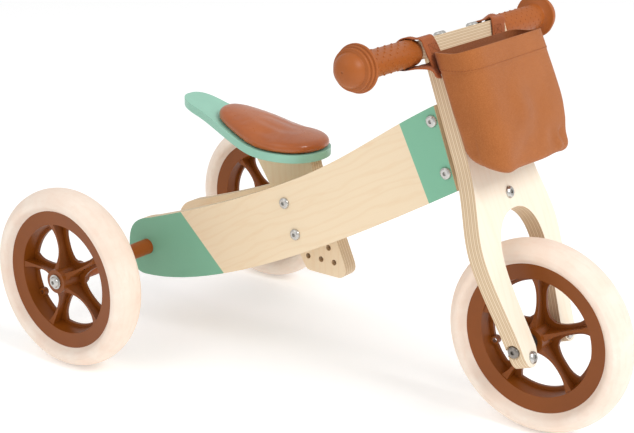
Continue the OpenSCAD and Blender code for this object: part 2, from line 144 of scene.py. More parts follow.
def lathe(name, profile, centre, steps):
    """A ring turned about the y axis through centre. The profile is (radius, y), and closed."""
    rows = [[centre + Vector((r * math.cos(a), y, r * math.sin(a)))
             for a in (2 * math.pi * k / steps for k in range(steps))] for r, y in profile]
    return add_mesh(name, [v for row in rows for v in row], bridge(rows, closed=True))


def curve(a, b, c, d, count):
    """Points of a cubic curve from a to d, pulled towards b and c, without its last point."""
    points = []
    for i in range(count):
        t = i / count
        s = 1 - t
        points.append(tuple(s ** 3 * p + 3 * s * s * t * q + 3 * s * t * t * m + t ** 3 * n
                            for p, q, m, n in zip(a, b, c, d)))
    return points


def smoothstep(low, high, x):
    """0 at low and 1 at high, with an easy start and end."""
    t = min(max((x - low) / (high - low), 0.0), 1.0)
    return t * t * (3 - 2 * t)


MERGE_DISTANCE = 0.002 * MM
COPLANAR = math.radians(0.4)         # faces that meet more flatly than this become one
SHARP = math.radians(32)             # edges sharper than this are rounded


def softened(node, width, slot, finishes, pick=None):
    """A copy of a CAD node with clean faces and rounded edges, in place of that node.
    pick(normal) chooses one of the finishes for each face."""
    source = frame["nodes"][node]
    mesh = bpy.data.meshes.new(node + "_soft")
    work = bmesh.new()
    work.from_mesh(source.data)
    bmesh.ops.remove_doubles(work, verts=work.verts, dist=MERGE_DISTANCE)
    bmesh.ops.dissolve_limit(work, angle_limit=COPLANAR, verts=work.verts, edges=work.edges)
    sharp = [e for e in work.edges if len(e.link_faces) == 2 and e.calc_face_angle() > SHARP]
    bmesh.ops.bevel(work, geom=sharp, offset=width, segments=2, profile=0.6,
                    affect="EDGES", clamp_overlap=True)
    bmesh.ops.recalc_face_normals(work, faces=work.faces)
    if pick:
        for face in work.faces:
            face.material_index = pick(face.normal)
    work.to_mesh(mesh)
    work.free()
    mesh.polygons.foreach_set("use_smooth", [True] * len(mesh.polygons))
    obj = bpy.data.objects.new(node + "_soft", mesh)
    bpy.context.scene.collection.objects.link(obj)
    for finish in finishes:
        mesh.materials.append(finish)
    weighted = obj.modifiers.new("flat_faces", "WEIGHTED_NORMAL")
    weighted.weight = 80
    weighted.keep_sharp = True
    place(obj, node, slot)
    return obj


def place(obj, node, slot):
    """obj stands for this CAD node, which is hidden, and rides on its body. slot is not used.
    """
    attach(obj, frame["nodes"][node]["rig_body"])
    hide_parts(node)


# Material helpers ---------------------------------------------------------------------

def rgb(red, green, blue):
    """A colour given as a screen shows it, from 0 to 255."""
    linear = [c / 255 / 12.92 if c / 255 <= 0.04045 else ((c / 255 + 0.055) / 1.055) ** 2.4
              for c in (red, green, blue)]
    return (*linear, 1.0)


class Finish:
    """A Principled material. Its methods add nodes and return their output sockets."""

    def __init__(self, name, colour, roughness, settings=None):
        self.material = bpy.data.materials.new(name)
        self.material.use_nodes = True
        self.nodes = self.material.node_tree.nodes
        self.links = self.material.node_tree.links
        self.shader = self.nodes["Principled BSDF"]
        self.place = self.nodes.new("ShaderNodeTexCoord").outputs["Object"]
        self.set("Base Color", colour)
        self.set("Roughness", roughness)
        for key, value in (settings or {}).items():
            self.set(key, value)

    def set(self, key, value, node=None):
        """Links a socket to an input, or gives the input a plain value."""
        socket = (node or self.shader).inputs[key]
        if isinstance(value, bpy.types.NodeSocket):
            self.links.new(value, socket)
        else:
            socket.default_value = value

    def add(self, kind, inputs, output=0, **properties):
        """Adds a node and returns one of its outputs."""
        node = self.nodes.new("ShaderNode" + kind)
        for key, value in properties.items():
            setattr(node, key, value)
        for key, value in inputs.items():
            self.set(key, value, node)
        return node.outputs[output]

    def math(self, operation, a, b=0.0):
        return self.add("Math", {0: a, 1: b}, operation=operation)

    def dot(self, vector, direction):
        return self.add("VectorMath", {0: vector, 1: direction}, "Value",
                        operation="DOT_PRODUCT")

    def scaled(self, vector, scale):
        return self.add("Mapping", {"Vector": vector, "Scale": scale})

    def noise(self, vector, scale, detail=2.0, roughness=0.5):
        return self.add("TexNoise", {"Vector": vector, "Scale": scale, "Detail": detail,
                                     "Roughness": roughness})

    def ramp(self, factor, stops):
        node = self.nodes.new("ShaderNodeValToRGB")
        self.links.new(factor, node.inputs["Fac"])
        elements = node.color_ramp.elements
        while len(elements) < len(stops):
            elements.new(0.5)
        for element, (position, colour) in zip(elements, stops):
            element.position = position
            element.color = colour
        return node.outputs["Color"]

    def grey(self, factor, low, high, value_low=0.0, value_high=1.0):
        """factor rescaled from low..high to value_low..value_high, and clamped."""
        return self.add("MapRange", {"Value": factor, "From Min": low, "From Max": high,
                                     "To Min": value_low, "To Max": value_high})

    def mix(self, factor, a, b):
        """Colour a where factor is 0, and b where it is 1."""
        return self.add("Mix", {0: factor, 6: a, 7: b}, 2, data_type="RGBA")

    def bump(self, height, strength, distance):
        self.set("Normal", self.add("Bump", {"Height": height, "Strength": strength,
                                             "Distance": distance}))


# Finishes -----------------------------------------------------------------------------

ACROSS = Vector((0, 1, 0))
BOARD_GRAIN = Vector((0.87, 0, 0.49)).normalized()
UPRIGHT = Vector((0, 0, 1))
# The tones of maple: its ground, its growth rings and its streaks.
MAPLE = (rgb(241, 220, 188), rgb(233, 203, 163), rgb(230, 190, 144))
# A paler copy of the maple, used on the fork plate: painted light, for the brighter light that
# falls on the fork's front face.
MAPLE_PAINTED_LIGHT = (rgb(245, 234, 215), rgb(240, 224, 200), rgb(238, 218, 190))


def wood_face(finish, grain, outward, seed, tones):
    """Colour and relief of a maple face: long arched rings, fine fibres and soft streaks."""
    side = grain.cross(outward)
    place = finish.add("VectorMath", {0: finish.place, 1: (seed, seed * 0.37, seed * 0.61)},
                       operation="ADD")
    along = finish.dot(place, grain)
    sideways = finish.dot(place, side)
    deep = finish.dot(place, outward)
    stretched = finish.add("CombineXYZ", {0: finish.math("MULTIPLY", along, 9.0),
                                          1: finish.math("MULTIPLY", sideways, 34.0),
                                          2: deep})
    drift = finish.noise(stretched, 1.0, 2.0)
    ring_side = finish.math("ADD", sideways, finish.math("MULTIPLY", drift, 0.030))
    ring_deep = finish.math("MULTIPLY", along, 0.14)
    rings = finish.add("TexWave", {
        "Vector": finish.add("CombineXYZ", {0: 0.0, 1: ring_side, 2: ring_deep}),
        "Scale": 34.0, "Distortion": 1.5, "Detail": 2.0, "Detail Scale": 1.2},
        1, wave_type="RINGS", rings_direction="X")
    fibre_place = finish.add("CombineXYZ", {0: finish.math("MULTIPLY", along, 28.0),
                                            1: finish.math("MULTIPLY", sideways, 900.0),
                                            2: finish.math("MULTIPLY", deep, 60.0)})
    fibres = finish.noise(fibre_place, 1.0, 3.0, 0.6)
    streaks = finish.noise(stretched, 1.7, 3.0, 0.6)
    ground, ring, streak = tones
    colour = finish.mix(finish.grey(rings, 0.62, 1.0, 0.0, 0.28), ground, ring)
    colour = finish.mix(finish.grey(streaks, 0.55, 0.80, 0.0, 0.4), colour, streak)
    colour = finish.mix(finish.grey(fibres, 0.3, 0.8, 0.0, 0.18), colour, ring)
    return colour, fibres


def wood_edge(finish, outward, along, thickness, start, plies):
    """Colour and relief of a plywood edge: plies stacked along outward from start."""
    depth = finish.math("DIVIDE", finish.math("SUBTRACT", finish.dot(finish.place, outward),
                                              start), thickness * 2 / plies)
    grain_place = finish.add("CombineXYZ", {
        0: finish.math("MULTIPLY", finish.dot(finish.place, along), 60.0),
        1: finish.math("MULTIPLY", depth, 5.0), 2: 0.0})
    streaks = finish.noise(grain_place, 1.0, 3.0, 0.65)
    wavy = finish.math("ADD", depth, finish.math("MULTIPLY", streaks, 0.06))
    turn = finish.math("FRACT", wavy)
    colour = finish.ramp(turn, [(0.0, rgb(192, 160, 124)), (0.07, rgb(184, 150, 114)),
                                (0.13, rgb(219, 194, 160)), (0.43, rgb(222, 198, 164)),
                                (0.49, rgb(182, 148, 112)), (0.55, rgb(186, 154, 118)),
                                (0.61, rgb(232, 212, 182)), (0.94, rgb(234, 215, 186)),
                                (1.0, rgb(192, 160, 124))])
    colour = finish.mix(finish.grey(streaks, 0.35, 0.75, 0.0, 0.3), colour,
                        rgb(200, 168, 130))
    return colour, turn


def make_wood(name, grain, outward, seed, tones=MAPLE):
    """Clear lacquered plywood, seen on its face."""
    finish = Finish(name, (1, 1, 1, 1), 0.42, {"Specular IOR Level": 0.35})
    colour, fibres = wood_face(finish, grain, outward, seed, tones)
    finish.set("Base Color", colour)
    finish.set("Roughness", finish.grey(fibres, 0.2, 0.8, 0.36, 0.52))
    finish.bump(fibres, 0.12, 0.3 * MM)
    return finish.material


def make_edge(name, outward, along, thickness, start, plies):
    """Plywood seen on its edge."""
    finish = Finish(name, (1, 1, 1, 1), 0.55, {"Specular IOR Level": 0.3})
    colour, layers = wood_edge(finish, outward, along, thickness, start, plies)
    finish.set("Base Color", colour)
    finish.bump(layers, 0.15, 0.15 * MM)
    return finish.material


MINT_FRONT = rgb(128, 187, 156)
MINT_REAR = rgb(128, 184, 154)
MINT_SEAT = rgb(148, 200, 178)
# Each paint edge is a line in x and z, with the painted side's direction.
REAR_AXLE_X = JOINTS["rear_wheel_right_spin"]["pos_m"][0]
REAR_PAINT = (Vector((REAR_AXLE_X + 54.2 * MM, 0, 152.9 * MM)), Vector((-0.680, 0, -0.733)))
FRONT_PAINT = (Vector((REAR_AXLE_X + 350.7 * MM, 0, 304.8 * MM)), Vector((0.897, 0, 0.442)))


def make_painted_board():
    """The outside of a side board: clear wood between two painted ends."""
    finish = Finish("board_outside", (1, 1, 1, 1), 0.42, {"Specular IOR Level": 0.35})
    colour, fibres = wood_face(finish, BOARD_GRAIN, ACROSS, 0.13, MAPLE)
    painted = None
    for (point, direction), mint in ((REAR_PAINT, MINT_REAR), (FRONT_PAINT, MINT_FRONT)):
        side = finish.dot(finish.add("VectorMath", {0: finish.place, 1: tuple(point)},
                                     operation="SUBTRACT"), direction)
        mask = finish.grey(side, -0.15 * MM, 0.15 * MM)
        mottle = finish.noise(finish.place, 60.0, 3.0, 0.6)
        shade = finish.mix(finish.grey(mottle, 0.3, 0.7, 0.0, 0.10), mint,
                           tuple(c * 0.8 for c in mint[:3]) + (1.0,))
        colour = finish.mix(mask, colour, shade)
        painted = mask if painted is None else finish.math("MAXIMUM", painted, mask)
    finish.set("Base Color", colour)
    finish.set("Roughness", finish.grey(painted, 0.0, 1.0, 0.42, 0.5))
    relief = finish.math("MULTIPLY", fibres, finish.grey(painted, 0.0, 1.0, 1.0, 0.35))
    finish.bump(finish.math("ADD", relief, painted), 0.12, 0.3 * MM)
    return finish.material


def make_paint(name, colour):
    """Satin paint, slightly mottled."""
    finish = Finish(name, (1, 1, 1, 1), 0.38, {"Specular IOR Level": 0.45,
                                               "Coat Weight": 0.15, "Coat Roughness": 0.3})
    mottle = finish.noise(finish.place, 45.0, 4.0, 0.6)
    orange_peel = finish.noise(finish.place, 900.0, 2.0)
    darker = tuple(c * 0.86 for c in colour[:3]) + (1.0,)
    finish.set("Base Color", finish.mix(finish.grey(mottle, 0.3, 0.75, 0.0, 0.45),
                                        colour, darker))
    finish.bump(orange_peel, 0.08, 0.1 * MM)
    return finish.material


def make_moulded(name, colour, roughness, grain_scale=1400.0, relief=0.10):
    """Moulded plastic or rubber: a very fine sparkle of relief and slow colour drift."""
    finish = Finish(name, colour, roughness, {"Specular IOR Level": 0.3})
    drift = finish.noise(finish.place, 22.0, 3.0, 0.55)
    darker = tuple(c * 0.78 for c in colour[:3]) + (1.0,)
    finish.set("Base Color", finish.mix(finish.grey(drift, 0.35, 0.75, 0.0, 0.5),
                                        colour, darker))
    fine = finish.noise(finish.place, grain_scale, 2.0)
    finish.set("Roughness", finish.grey(fine, 0.3, 0.7, roughness - 0.05, roughness + 0.07))
    finish.bump(fine, relief, 0.12 * MM)
    return finish.material


def make_tyre_foam():
    """Smooth cream foam with faint pinkish clouds, drawn out into short streaks."""
    finish = Finish("tyre_foam", (1, 1, 1, 1), 0.6, {"Specular IOR Level": 0.35})
    clouds = finish.noise(finish.scaled(finish.place, (30, 14, 30)), 1.0, 5.0, 0.62)
    streaks = finish.noise(finish.scaled(finish.place, (60, 240, 60)), 1.0, 3.0, 0.6)
    tone = finish.mix(finish.grey(clouds, 0.35, 0.7, 0.0, 0.7), rgb(244, 229, 214),
                      rgb(237, 211, 192))
    tone = finish.mix(finish.grey(streaks, 0.5, 0.75, 0.0, 0.3), tone, rgb(232, 200, 178))
    finish.set("Base Color", tone)
    fine = finish.noise(finish.place, 1500.0, 2.0)
    finish.set("Roughness", finish.grey(fine, 0.3, 0.7, 0.55, 0.68))
    finish.bump(fine, 0.12, 0.12 * MM)
    return finish.material


def make_metal(name, colour, roughness):
    """Plated metal with fine scratches."""
    finish = Finish(name, colour, roughness, {"Metallic": 1.0})
    brushed = finish.noise(finish.scaled(finish.place, (900, 900, 2400)), 1.0, 2.0)
    finish.set("Roughness", finish.grey(brushed, 0.3, 0.7, roughness - 0.06, roughness + 0.1))
    finish.bump(brushed, 0.05, 0.05 * MM)
    return finish.material


def make_canvas(name, colour, dark, thread=0.55 * MM):
    """Woven cloth: two crossed sets of threads, soft stains and a fuzzy sheen."""
    finish = Finish(name, colour, 0.85, {"Specular IOR Level": 0.2, "Sheen Weight": 0.12,
                                         "Sheen Roughness": 0.5})
    wobble = finish.noise(finish.place, 400.0, 2.0)
    threads = []
    for direction in (FORK_UP, ACROSS):
        count = finish.math("ADD", finish.math("DIVIDE", finish.dot(finish.place, direction),
                                               thread), finish.math("MULTIPLY", wobble, 0.5))
        threads.append(finish.math("ABSOLUTE", finish.math("SINE", finish.math(
            "MULTIPLY", count, math.pi))))
    weave = finish.math("MULTIPLY", *threads)
    stains = finish.noise(finish.place, 26.0, 4.0, 0.6)
    fluff = finish.noise(finish.place, 1100.0, 3.0, 0.7)
    tone = finish.mix(finish.grey(stains, 0.3, 0.72, 0.0, 0.3), colour, dark)
    slubs = finish.noise(finish.scaled(finish.place, (1300, 520, 1300)), 1.0, 2.0, 0.7)
    tone = finish.mix(finish.grey(slubs, 0.42, 0.7, 0.0, 0.4), tone, dark)
    tone = finish.mix(finish.grey(weave, 0.0, 0.5, 0.16, 0.0), tone, dark)
    tone = finish.mix(finish.grey(fluff, 0.45, 0.75, 0.0, 0.22), tone, rgb(222, 156, 100))
    finish.set("Base Color", tone)
    finish.bump(finish.math("ADD", weave, finish.math("MULTIPLY", fluff, 0.6)), 0.45,
                0.25 * MM)
    return finish.material


def make_leatherette():
    """Soft coated cloth with small cells and creases."""
    finish = Finish("leatherette", (1, 1, 1, 1), 0.4, {"Specular IOR Level": 0.4,
                                                       "Coat Weight": 0.4,
                                                       "Coat Roughness": 0.16})
    cells = finish.add("TexVoronoi", {"Vector": finish.place, "Scale": 900.0}, "Distance",
                       feature="DISTANCE_TO_EDGE")
    creases = finish.noise(finish.place, 320.0, 4.0, 0.6)
    drift = finish.noise(finish.place, 24.0, 3.0, 0.5)
    tone = finish.mix(finish.grey(drift, 0.3, 0.7), rgb(180, 96, 34), rgb(166, 84, 28))
    tone = finish.mix(finish.grey(creases, 0.3, 0.75, 0.0, 0.2), tone, rgb(142, 72, 26))
    finish.set("Base Color", tone)
    finish.set("Roughness", finish.grey(creases, 0.3, 0.7, 0.27, 0.38))
    finish.bump(finish.math("ADD", cells, finish.math("MULTIPLY", creases, 0.7)), 0.16,
                0.12 * MM)
    return finish.material


def across_extent(node):
    """The thickness of an upright plate, and the y where it starts."""
    low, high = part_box(node)
    return high.y - low.y, low.y


FORK_BACK, FORK_THICKNESS, FORK_TOP = -7 * MM, 17 * MM, 297 * MM
BAR_HEIGHT = 18 * MM

BOARD_OUTSIDE = make_painted_board()
BOARD_INSIDE = make_wood("board_inside", BOARD_GRAIN, ACROSS, 0.41)
BOARD_EDGE = make_edge("board_edge", ACROSS, BOARD_GRAIN, *across_extent("side_board_left"),
                       plies=9)
POST_WOOD = make_wood("post_wood", UPRIGHT, ACROSS, 0.77)
POST_EDGE = make_edge("post_edge", ACROSS, UPRIGHT, *across_extent("seat_post"), plies=9)
FORK_WOOD = make_wood("fork_wood", FORK_UP, FORK_FORWARD, 0.29, MAPLE_PAINTED_LIGHT)
FORK_EDGE = make_edge("fork_edge", FORK_FORWARD, FORK_UP, FORK_THICKNESS,
                      FRONT_AXLE.dot(FORK_FORWARD) + FORK_BACK, plies=9)
BAR_TOP = make_wood("bar_top", ACROSS, FORK_UP, 0.53)
BAR_EDGE = make_edge("bar_edge", FORK_UP, ACROSS, BAR_HEIGHT,
                     FRONT_AXLE.dot(FORK_UP) + FORK_TOP, plies=13)
BLOCK_WOOD = make_wood("block_wood", ACROSS, FORK_FORWARD, 0.9)
SEAT_PAINT = make_paint("seat_paint", MINT_SEAT)
RIM_PLASTIC = make_moulded("rim_plastic", rgb(134, 70, 16), 0.34)
GRIP_RUBBER = make_moulded("grip_rubber", rgb(166, 90, 36), 0.42, 1100.0, 0.18)
TYRE_FOAM = make_tyre_foam()
AXLE_PAINT = make_moulded("axle_paint", rgb(154, 78, 26), 0.38)
STEEL = make_metal("steel", rgb(196, 194, 190), 0.26)
DARK_STEEL = make_metal("dark_steel", rgb(138, 132, 126), 0.3)
NYLON = make_moulded("dark_nylon", rgb(52, 46, 42), 0.5)
CANVAS = make_canvas("bag_canvas", rgb(172, 102, 52), rgb(136, 74, 34))
# The lining is a darker copy of the bag's canvas: painted shade, for the shadow inside the bag.
SHADED_LINING = make_canvas("bag_lining_painted_shade", rgb(140, 76, 38), rgb(112, 58, 28))
STRAP_CLOTH = make_canvas("strap_cloth", rgb(166, 88, 46), rgb(128, 64, 32), 0.9 * MM)
THREAD = make_canvas("thread", rgb(150, 80, 40), rgb(120, 60, 30), 0.3 * MM)
LEATHERETTE = make_leatherette()


# Plywood ------------------------------------------------------------------------------

FLAT = 0.93                          # least cosine to the direction on a plate's face


def by_normal(direction):
    """Picks finish 0 for faces along direction, 1 for faces against it and 2 for edges."""
    def pick(normal):
        along = normal.dot(direction)
        return 0 if along > FLAT else 1 if along < -FLAT else 2
    return pick


softened("side_board_left", 1.0 * MM, "plywood", [BOARD_OUTSIDE, BOARD_INSIDE, BOARD_EDGE],
         by_normal(ACROSS))
softened("side_board_right", 1.0 * MM, "plywood", [BOARD_OUTSIDE, BOARD_INSIDE, BOARD_EDGE],
         by_normal(-ACROSS))
softened("seat_post", 1.0 * MM, "plywood", [POST_WOOD, POST_WOOD, POST_EDGE],
         by_normal(ACROSS))
softened("fork_plate", 1.4 * MM, "plywood", [FORK_WOOD, FORK_WOOD, FORK_EDGE],
         by_normal(FORK_FORWARD))
softened("handlebar", 0.8 * MM, "plywood", [BAR_TOP, BAR_TOP, BAR_EDGE], by_normal(FORK_UP))
softened("head_block", 1.0 * MM, "plywood", [BLOCK_WOOD])
softened("seat_board", 1.6 * MM, "mint_plywood", [SEAT_PAINT])


# Wheels -------------------------------------------------------------------------------

RIM_R = 77.5 * MM         # where the tyre's sides meet the rim
RIM_HALF = 12.2 * MM
CREST_R = 86 * MM         # where the tyre is widest
TREAD_ANGLE = math.radians(52)
TREAD_STEPS = 18


def tyre_profile(radius, half):
    """A foam tyre's section: a nearly flat side, a soft shoulder line and a round tread."""
    side = [(70 * MM, 8.5 * MM), (RIM_R, 9.2 * MM)] + curve(
        (RIM_R, RIM_HALF), (80 * MM, 14.5 * MM), (82 * MM, half), (CREST_R, half), 10) + [
        (CREST_R, half), (88.6 * MM, half - 0.2 * MM), (89.4 * MM, half - 0.5 * MM),
        (90 * MM, half - 0.95 * MM)]
    crown = [(CREST_R + (radius - CREST_R) * math.cos(a), half * math.sin(a))
             for a in (TREAD_ANGLE * (1 - k / TREAD_STEPS) for k in range(TREAD_STEPS + 1))]
    half_section = side + crown
    return half_section + [(r, -y) for r, y in reversed(half_section[:-1])]


for node, joint in (("rear_tyre_right", "rear_wheel_right_spin"),
                    ("rear_tyre_left", "rear_wheel_left_spin"),
                    ("front_tyre", "front_wheel_spin")):
    low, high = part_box(node)
    tyre = lathe(node + "_foam", tyre_profile((high.x - low.x) / 2, (high.y - low.y) / 2),
                 Vector(JOINTS[joint]["pos_m"]), 192)
    tyre.data.materials.append(TYRE_FOAM)
    place(tyre, node, "cream_foam")

for node in ("rear_rim_right", "rear_rim_left", "front_rim"):
    softened(node, 0.45 * MM, "brown_plastic", [RIM_PLASTIC])


# Metal and small parts ----------------------------------------------------------------

def finish_node(node, material):
    """Gives a CAD node a better material."""
    mesh = frame["nodes"][node].data
    mesh.materials.clear()
    mesh.materials.append(material)


for node in ("rear_axle_rod", "head_bolts", "post_spacers", "post_bolts", "post_nuts",
             "seat_screws", "rear_axle_bolts", "rear_axle_washers", "rear_thrust_washers",
             "upper_bracket", "lower_bracket", "steering_pin", "steering_pin_nut",
             "fork_bolts", "fork_nuts", "handlebar_bolts", "barrel_nuts", "front_axle_rod",
             "leg_screws"):
    finish_node(node, STEEL)
finish_node("front_axle_bolts", DARK_STEEL)
for node in ("steering_bushes", "rear_bushes_right", "rear_bushes_left", "front_bushes",
             "front_spacers"):
    finish_node(node, NYLON)
finish_node("axle_tube", AXLE_PAINT)


# Grips --------------------------------------------------------------------------------

GRIP_R, SPIGOT_R = 13 * MM, 8.5 * MM
GRIP_START, GRIP_FLANGE, GRIP_END = 76 * MM, 163 * MM, 188 * MM
SOCKET_END = 160 * MM                # the handlebar's round end stops here, inside the grip
FLANGE_RADII = (23 * MM, 21.5 * MM, 20 * MM)
FLANGE_STEP = 4 * MM
BAR_V, BAR_U = -5, 306               # the handlebar's middle in the fork's axes
BAR_MIDDLE = fork(BAR_V, 0, BAR_U)
BUMP_ROWS, BUMPS_IN_ROW, BUMP_STEP = 10, 14, 5.5 * MM
BUMP_FIRST = 7 * MM                  # from the grip's start to its first bump
BUMP_HALF_WIDTH, BUMP_HALF_LENGTH = 1.15 * MM, 0.9 * MM
BUMP_SIDES = 8


def grip_profile():
    """A grip's section as (radius, y): a sleeve, three flanges and a domed end."""
    points = [(SPIGOT_R, GRIP_START), (GRIP_R - 1.4 * MM, GRIP_START),
              (GRIP_R - 0.4 * MM, GRIP_START + 0.4 * MM), (GRIP_R, GRIP_START + 1.4 * MM),
              (GRIP_R, GRIP_FLANGE - 2 * MM), (GRIP_R + 0.6 * MM, GRIP_FLANGE - 0.4 * MM)]
    for k, r in enumerate(FLANGE_RADII):
        y = GRIP_FLANGE + FLANGE_STEP * k
        points += [(r - 0.9 * MM, y), (r - 0.25 * MM, y + 0.3 * MM), (r, y + 1 * MM),
                   (r, y + 2.4 * MM), (r - 0.25 * MM, y + 3.1 * MM),
                   (r - 0.9 * MM, y + 3.4 * MM), (r - 3 * MM, y + 3.5 * MM),
                   (r - 3 * MM, y + FLANGE_STEP)]
    dome = GRIP_FLANGE + len(FLANGE_RADII) * FLANGE_STEP
    points += curve((16.6 * MM, dome), (16.0 * MM, dome + 6 * MM), (11 * MM, GRIP_END),
                    (2 * MM, GRIP_END), 14)
    return points + [(2 * MM, GRIP_END), (0.5 * MM, GRIP_END), (0.5 * MM, SOCKET_END),
                     (SPIGOT_R, SOCKET_END)]


def grip_bumps():
    """Low oval bumps in rows along the sleeve, as vertices about the grip's axis."""
    verts, faces = [], []
    for row in range(BUMP_ROWS):
        for k in range(BUMPS_IN_ROW):
            angle = 2 * math.pi * (row + 0.5 * (k % 2)) / BUMP_ROWS
            y = GRIP_START + BUMP_FIRST + BUMP_STEP * k
            start = len(verts)
            for size, height in ((1.0, -0.15), (0.92, 0.25), (0.6, 0.5)):
                r = GRIP_R + height * MM
                for step in range(BUMP_SIDES):
                    a = 2 * math.pi * step / BUMP_SIDES
                    turn = angle + BUMP_HALF_WIDTH * size * math.cos(a) / GRIP_R
                    verts.append(Vector((r * math.cos(turn),
                                         y + BUMP_HALF_LENGTH * size * math.sin(a),
                                         r * math.sin(turn))))
            for low in (start, start + BUMP_SIDES):
                faces += [(low + j, low + (j + 1) % BUMP_SIDES,
                           low + BUMP_SIDES + (j + 1) % BUMP_SIDES, low + BUMP_SIDES + j)
                          for j in range(BUMP_SIDES)]
            faces += [tuple(range(start + 2 * BUMP_SIDES, start + 3 * BUMP_SIDES)),
                      tuple(range(start + BUMP_SIDES - 1, start - 1, -1))]
    return verts, faces


for node, side in (("grip_left", 1), ("grip_right", -1)):
    grip = lathe(node + "_rubber", grip_profile(), BAR_MIDDLE, 96)
    bump_verts, bump_faces = grip_bumps()
    bumps = add_mesh(node + "_bumps", [v + BAR_MIDDLE for v in bump_verts], bump_faces)
    for piece in (grip, bumps):
        piece.data.materials.append(GRIP_RUBBER)
        for vertex in piece.data.vertices:
            vertex.co.y *= side
        if side < 0:
            piece.data.flip_normals()
    bumps.parent = grip
    place(grip, node, "grip_rubber")


# Cushion ------------------------------------------------------------------------------

SEAT_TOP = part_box("seat_cushion")[0].z
BEND_X = REAR_AXLE_X + 170 * MM      # the seat is flat in front of here
BEND_R = 138.5 * MM
BEND_ANGLE = math.radians(16.6)
CUSHION_LIFT = 0.25 * MM             # least height of the cushion above the seat
UNDER_RINGS = tuple((q, 0.3) for q in (0.2, 0.4, 0.6, 0.8))
# Rings of the pad, from the rim of its underside over its top: scale of the outline, height.
PAD_RINGS = ((0.95, 0.3), (0.985, 0.9), (1.0, 3.0), (1.002, 5.2), (0.99, 7.4), (0.965, 9.3),
             (0.925, 10.8), (0.86, 11.9), (0.76, 12.7), (0.64, 13.2), (0.50, 13.6),
             (0.35, 13.8), (0.18, 13.9))
SPINE_BACK, SPINE_FRONT = -62, 6     # the line that the rings close in on
CROWN_RISE, CROWN_PLACE, CROWN_REACH = 0.34, -28, 40
VOXEL, PRESSURE, MOST_SWELL = 2.4 * MM, 4.0, 1.5 * MM
CLOTH_STEPS = 20


def seat_point(s, y, h):
    """The point h above the seat's top face, s along it in front of where it bends."""
    a = min(max(-s / BEND_R, 0.0), BEND_ANGLE)
    beyond = max(-s - BEND_R * BEND_ANGLE, 0.0)
    return Vector((BEND_X + max(s, 0.0) - (BEND_R - h) * math.sin(a) - beyond * math.cos(a), y,
                   SEAT_TOP + BEND_R - (BEND_R - h) * math.cos(a) + beyond * math.sin(a)))


def height_on_seat(point):
    """How far a point is above the seat's top face, and the face's outward direction."""
    centre = Vector((BEND_X, 0, SEAT_TOP + BEND_R))
    arm = Vector((point.x, 0, point.z)) - centre
    a = min(max(math.atan2(-arm.x, -arm.z), 0.0), BEND_ANGLE)
    outward = Vector((math.sin(a), 0, math.cos(a)))
    return BEND_R + arm.dot(outward), outward


def cushion_outline():
    """The pad's plan as (s, y), in millimetres: blunt in front and narrower behind."""
    half = (curve((47, 0), (47, 23), (32, 39.6), (3, 39.6), 22)
            + curve((3, 39.6), (-28, 39.6), (-52, 33.5), (-71, 27), 22)
            + curve((-71, 27), (-88, 21), (-96, 13), (-96, 0), 14) + [(-96, 0)])
    return half + [(s, -y) for s, y in reversed(half[1:-1])]


def make_cushion():
    """The pad before it is swollen."""
    outline = cushion_outline()
    rows = []
    for q, h in UNDER_RINGS + PAD_RINGS:
        row = []
        for s, y in outline:
            spine = min(max(s, SPINE_BACK), SPINE_FRONT)
            along = spine + (s - spine) * q
            crown = 1 + CROWN_RISE * math.exp(-((along - CROWN_PLACE) / CROWN_REACH) ** 2)
            row.append(seat_point(along * MM, y * q * MM, h * crown * MM))
        rows.append(row)
    verts = [v for row in rows for v in row]
    last = (len(rows) - 1) * len(outline)
    caps = [tuple(range(len(outline))), tuple(range(last, last + len(outline)))]
    return add_mesh("seat_cushion_pad", verts, bridge(rows) + caps)


def relax(obj, times):
    """Evens out a mesh."""
    even = obj.modifiers.new("even", "SMOOTH")
    even.factor = 0.5
    even.iterations = times
    bpy.context.view_layer.objects.active = obj
    bpy.ops.object.modifier_apply(modifier=even.name)


def inflate(obj, voxel, pressure, cap):
    """Remeshes a pad and lets cloth under pressure swell it, no point moving beyond cap."""
    bpy.context.view_layer.objects.active = obj
    remesh = obj.modifiers.new("remesh", "REMESH")
    remesh.mode = "VOXEL"
    remesh.voxel_size = voxel
    bpy.ops.object.modifier_apply(modifier=remesh.name)
    relax(obj, 4)
    start = [vertex.co.copy() for vertex in obj.data.vertices]
    cloth = obj.modifiers.new("cloth", "CLOTH")
    cloth.settings.use_pressure = True
    cloth.settings.uniform_pressure_force = pressure
    cloth.settings.effector_weights.gravity = 0.0
    scene = bpy.context.scene
    for step in range(1, CLOTH_STEPS + 1):
        scene.frame_set(step)
    bpy.ops.object.modifier_apply(modifier=cloth.name)
    scene.frame_set(1)
    for vertex, origin in zip(obj.data.vertices, start):
        move = vertex.co - origin
        if move.length > cap:
            vertex.co = origin + move * (cap / move.length)


cushion = make_cushion()
inflate(cushion, VOXEL, PRESSURE, MOST_SWELL)
relax(cushion, 2)
for vertex in cushion.data.vertices:
    above, outward = height_on_seat(vertex.co)
    if above < CUSHION_LIFT:
        vertex.co += outward * (CUSHION_LIFT - above)
smooth = cushion.modifiers.new("smooth", "SUBSURF")
smooth.levels = smooth.render_levels = 1
bpy.context.view_layer.objects.active = cushion
bpy.ops.object.modifier_apply(modifier=smooth.name)
cushion.data.polygons.foreach_set("use_smooth", [True] * len(cushion.data.polygons))
cushion.data.materials.append(LEATHERETTE)
place(cushion, "seat_cushion", "leatherette")


# Bag ----------------------------------------------------------------------------------
# Its shape is worked out in the fork's axes: v forward, y across and u up, in millimetres.

